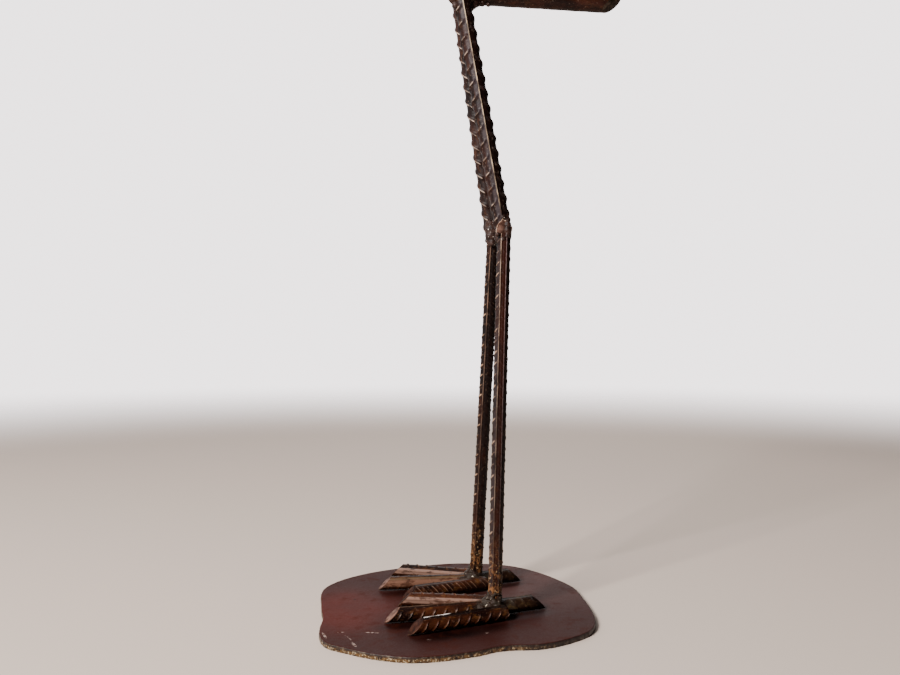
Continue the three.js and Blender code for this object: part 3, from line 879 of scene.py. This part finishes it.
makeLeg("near")
makeLeg("far")
legWelds = {
    "near_knee_weld": [(44.6, -23.6, 371, 3.2), (45.4, -25, 366.5, 3.5), (45.7, -25.3, 362, 3.6),
                       (45.7, -25.2, 357, 3.6), (45.3, -24.6, 352, 3.5), (44.8, -23.6, 347, 3.2),
                       (44.6, -23, 342, 2.8), (40, -18, 350, 5), (41.6, -26.6, 349, 2.4),
                       (41.6, -26.4, 369, 2.9), (36, -26.3, 353, 2.5)],
    "far_knee_weld": [(40.5, 22.4, 367.5, 6), (41, 22, 362, 6.2), (41, 22, 356, 6.1),
                      (41.6, 22.4, 350.5, 5.4), (38.8, 20, 369, 3.4), (43, 18.8, 360.5, 3.2),
                      (41.5, 19, 348.2, 3)],
    "near_hip_weld": [(-1, -14.8, 564, 3.8), (-3.4, -14.6, 570, 4.4), (-6, -14, 577, 4.8), (-8, -9, 585, 5),
                      (-9, -4, 594, 4.5), (2, -6, 583, 6), (9, -6.5, 577, 6), (13.2, -12.5, 563, 3.4),
                      (16, -11, 566, 3.6), (14, -8, 573, 5.5), (19, -8.5, 568.5, 3.4), (22.5, -5, 570.5, 3),
                      (27, -1, 571.8, 2.6), (33, 0, 572, 2.3)],
    "far_hip_weld": [(8, 12, 581, 6), (14, 12.5, 576, 5.6), (18.5, 11, 574, 4.2), (2, 12, 586, 5.8),
                     (-3, 11.5, 590, 5), (-8, 10, 595, 4)]}
for name, beads in legWelds.items():
    makeWeld(name, beads, weldMetal)
print("legs ready")


# Body: the plain bars of the mid-plane

keelRoute = sideRoute([(156, 581), (90, 581), (28, 581), (10, 581.2), (0, 584), (-14, 600), (-42, 633),
                       (-67, 682), (-81, 738)])
tailCut = [(np.array((156.0, middleY, 581.0)), np.array((1.0, -0.8, -1.1)))]
backRoute = sideRoute([(-22, 739), (100, 704), (236, 634)])
tailRoutes = {"lower_tail_bar": [(14, 598.6), (198, 598.6)], "middle_tail_bar": [(-10, 632), (222, 614)],
              "upper_tail_bar": [(0, 684), (162, 652)]}


def makeRound(name, node, route, radius, startRun=0, endRun=0, seed=0.0, size=None, startCut=None,
              face=cutFace):
    # size is the bar's thickness at its cuts where its radius changes along it
    size = size or radius
    piece = makeBar(name, route, radius, plainBar, across, startCut or [cutAcross(route, 0, startRun, size)],
                    [cutAcross(route, 1, endRun, size)], seed)
    dress(piece, "body_bar", [node], barPaints["body"], face, burr)


makeRound("keel", "keel_bar", keelRoute, roundBar, 0, 9, 0.4, startCut=tailCut, face=endFace)
makeRound("back", "back_bar", backRoute, roundBar, 4, 16, 1.4)
for number, (node, points) in enumerate(tailRoutes.items()):
    makeRound(node.replace("_bar", "_rod"), node, sideRoute(points), roundBar, 0, 10, 2.6 + number)


# Wings: feathers of ribbed bar, bowed outward amidships

wing = {"front": -60.0, "rear": 205.0, "top": 738.0, "tail": 643.0, "arch": 8.0, "frontPitch": 16.2,
        "rearPitch": 15.4, "bow": 13.0, "rows": 8, "places": 5, "twist": 0.6, "seamOut": 2.5,
        "seamVoxel": 0.9}
# the long feathers, from the top down, and the short ones that cover their gaps: where each starts and ends
layers = [
    {"piece": "quill", "node": "wing_feather", "rowShift": 0, "startRun": 3, "endRun": 20, "seed": 2,
     "seedStep": 1.37, "weldAt": 6.0, "bead": 4.2,
     "spans": [(-28, 212), (-44, 206), (-52, 192), (-54, 172), (-50, 148), (-40, 120), (-24, 88), (-4, 52)]},
    {"piece": "covert", "node": "shoulder_feather", "rowShift": 0.5, "startRun": 6, "endRun": 18, "seed": 7,
     "seedStep": 1.71, "weldAt": 7.0, "bead": 3.8,
     "spans": [(-34, 84), (-44, 104), (-48, 98), (-46, 78), (-38, 54)]}]


def featherRoute(row, start, end, flank, side):
    places = []
    for x in np.linspace(start, end, wing["places"]):
        run = (x - wing["front"]) / (wing["rear"] - wing["front"])
        high = wing["top"] - row * wing["frontPitch"]
        low = wing["tail"] - row * wing["rearPitch"]
        swell = sin(pi * min(1, run)) * sin(pi * (row + 0.6) / wing["rows"])
        places.append((x, middleY + side * (flank + wing["bow"] * swell),
                       high + (low - high) * run + wing["arch"] * 4 * run * (1 - run)))
    return routeOf(places)


def makeFeather(name, node, route, side, startRun, endRun, seed):
    rng = random.Random(int(seed * 100))
    bar = {**featherBar, "slant": featherBar["slant"] * side, "phase": rng.uniform(0, featherBar["pitch"])}
    turned = np.array((0.0, rng.uniform(-wing["twist"], wing["twist"]), 1.0))
    piece = makeBar(name, route, featherBar["core"], bar, turned,
                    [cutAcross(route, 0, startRun, featherRadius)],
                    [cutAcross(route, 1, endRun, featherRadius)], seed)
    dress(piece, "body_bar", [node], barPaints["body"], cutFace, burr)


def makeWing(label):
    side = sides[label]
    flank = roundBar + featherRadius + gap
    overlap = ((2 * featherRadius + gap) ** 2 - (wing["rearPitch"] / 2) ** 2) ** 0.5 + 6 * gap
    seam = []
    for layer, away in zip(layers, (flank, flank + overlap)):
        roots = []
        for row, (start, end) in enumerate(layer["spans"]):
            route = featherRoute(row + layer["rowShift"], start, end, away, side)
            piece, node = f"{label}_{layer['piece']}_{row + 1}", f"{label}_{layer['node']}_{row + 1}"
            makeFeather(piece, node, route, side, layer["startRun"], layer["endRun"],
                        row * layer["seedStep"] + layer["seed"] + side)
            roots.append(placeOn(route, np.array([layer["weldAt"]]))[0][0])
        out = np.array((0, side * wing["seamOut"], 0))
        for number, (a, b) in enumerate(zip(roots, roots[1:])):
            ends = [a * 0.7 + b * 0.3 + out, a * 0.3 + b * 0.7 + out]
            seam += beadsBetween(ends, layer["bead"], number + 3)
    makeWeld(f"{label}_wing_weld", seam, weldMetal, voxel=wing["seamVoxel"])


makeWing("near")
makeWing("far")
print("body ready")


# Neck and head

neckRoute = sideRoute([(-28, 668), (-43.6, 699.5), (-64, 747), (-98, 790), (-128, 838), (-133, 892),
                       (-113, 944), (-90, 996), (-80, 1050), (-90, 1094), (-112, 1117), (-134, 1121)])
headRadius = 13.0
bills = {"upper": 7.5, "lower": 4.5, "tip": 0.25, "lowerEnd": 0.86}
eye = {"radius": 4.0, "flat": 0.45, "x": -163, "z": 1117, "proud": 1.4, "around": 24, "down": 14}


def cutAfter(route):
    # where the next bar starts, a gap past this one's end
    place, slope = placeOn(route, np.array([route["length"] + gap]))
    return [(place[0], -slope[0])]


makeRound("neck", "neck_bar", neckRoute, roundBar, seed=0.9)
napeRoute = besideRoute(neckRoute, 0.03, 0.37, lambda run: -(2 * roundBar + 5 * gap))
makeRound("nape", "nape_bar", napeRoute, roundBar, 4, -10, 1.9)
for label, side in sides.items():
    flank = middleY + side * (roundBar + featherRadius + gap)
    makeRound(f"{label}_neck_rod", f"{label}_neck_bar",
              besideRoute(neckRoute, 0.13, 0.3, lambda run: 0, flank), featherRadius, 6, -22, 2.9 + side)


def taper(root):
    return lambda run: root * (1 - (1 - bills["tip"]) * run**2)


def makeHead():
    skull = sideRoute([(-134.6, 1121), (-157, 1119), (-182, 1108)])
    makeRound("skull", "head", skull, lambda run: 9 + (headRadius - 9) * sin(pi * (0.1 + 0.65 * run)),
              size=headRadius, startCut=cutAfter(neckRoute), seed=3.3)
    upper = sideRoute([(-183.8, 1111), (-205, 1103), (-220, 1085), (-224, 1056)])
    thickness = {place: taper(bills[place]) for place in ("upper", "lower")}
    lowerEnd = bills["lowerEnd"]
    lower = besideRoute(upper, 0.01, lowerEnd, lambda run: thickness["upper"](lowerEnd * run)
                        + thickness["lower"](run) + 2 * gap)
    for place, route, seed in (("upper", upper, 4.1), ("lower", lower, 4.9)):
        makeRound(f"{place}_bill", f"{place}_beak", route, thickness[place], size=bills[place],
                  startCut=cutAfter(skull), seed=seed)
    for label, side in sides.items():
        bm = bmesh.new()
        bmesh.ops.create_uvsphere(bm, u_segments=eye["around"], v_segments=eye["down"],
                                  radius=eye["radius"] * mm)
        bmesh.ops.scale(bm, vec=(1, eye["flat"], 1), verts=bm.verts)
        spot = Vector((eye["x"], middleY + side * (headRadius + eye["proud"]), eye["z"]))
        bmesh.ops.translate(bm, vec=spot * mm, verts=bm.verts)
        for face in bm.faces:
            face.smooth = True
        name = f"{label}_eye_bead"
        dress(newPiece(name, meshOf(name, bm)), "weld", [f"{label}_eye"], weldMetal)


makeHead()
print("neck and head ready")


# Camera, floor and light

# the sky is light on one side and dark on the other; a lamp is a place, a square's side, a power and a colour
studio = {"floorColour": (0.62, 0.53, 0.46), "floorMatt": 0.75, "floorShine": 0.2, "fade": (1.3, 3.2),
          "pale": (1.0, 0.93, 0.935), "backdrop": 3.2, "light": (1.0, 0.95, 0.94), "brightness": 1.0,
          "shade": (0.04, 0.036, 0.036), "shadeToward": (0.87, -0.45, 0.2), "shadeSpan": (-0.45, 0.25),
          "lamps": {"key": ((-1.7, -1.5, 1.5), 0.7, 165, (1, 0.93, 0.89)),
                    "back": ((0.7, 2.0, 1.3), 1.8, 13, (1, 0.95, 0.93))},
          "aim": (0, 0, 0.4)}
view = {"place": (-0.1516, -0.8383, 0.272), "tilt": 90 - 0.986, "heading": -10.0, "lens": 36.04, "sensor": 36}


def makeFloor():
    bm = bmesh.new()
    bmesh.ops.create_circle(bm, cap_ends=True, segments=128, radius=studio["fade"][1])
    floor = newPiece("floor", meshOf("floor", bm))
    finish = newFinish("floor_paint")
    paint = addNode("BsdfPrincipled", [
        ("Base Color", (*studio["floorColour"], 1)), ("Roughness", studio["floorMatt"]),
        ("Specular IOR Level", studio["floorShine"])])[0]
    faded = ramp(lengthOf(objectPlace()), *studio["fade"])
    clear = addNode("BsdfTransparent")[0]
    show(addNode("MixShader", [(0, faded), (1, paint), (2, clear)])[0])
    floor.data.materials.append(finish)


def makeSky():
    world = bpy.data.worlds.new("studio")
    bpy.context.scene.world = openCanvas(world)
    way = addNode("TexCoord")["Generated"]
    pair = [(0, way), (1, studio["shadeToward"])]
    toward = addNode("VectorMath", pair, operation="DOT_PRODUCT")["Value"]
    sky = blendColour(ramp(toward, *studio["shadeSpan"]), studio["light"], studio["shade"])
    soft = addNode("Background", [("Color", sky), ("Strength", studio["brightness"])])[0]
    pale = [("Color", (*studio["pale"], 1)), ("Strength", studio["backdrop"])]
    backdrop = addNode("Background", pale)[0]
    seen = addNode("LightPath")["Is Camera Ray"]
    both = addNode("MixShader", [(0, seen), (1, soft), (2, backdrop)])[0]
    addNode("OutputWorld", [("Surface", both)])


def makeLamps():
    for name, (place, size, power, colour) in studio["lamps"].items():
        lamp = bpy.data.lights.new(name, "AREA")
        lamp.size = size
        lamp.energy = power
        lamp.color = colour
        holder = bpy.data.objects.new(name, lamp)
        bpy.context.collection.objects.link(holder)
        holder.location = place
        holder.rotation_euler = (Vector(studio["aim"]) - Vector(place)).to_track_quat("-Z", "Y").to_euler()


def makeCamera():
    camera = bpy.data.cameras.new("camera")
    camera.lens = view["lens"]
    camera.sensor_width = view["sensor"]
    holder = bpy.data.objects.new("camera", camera)
    bpy.context.collection.objects.link(holder)
    holder.location = view["place"]
    holder.rotation_euler = (radians(view["tilt"]), 0, radians(view["heading"]))
    bpy.context.scene.camera = holder


makeFloor()
makeSky()
makeLamps()
makeCamera()
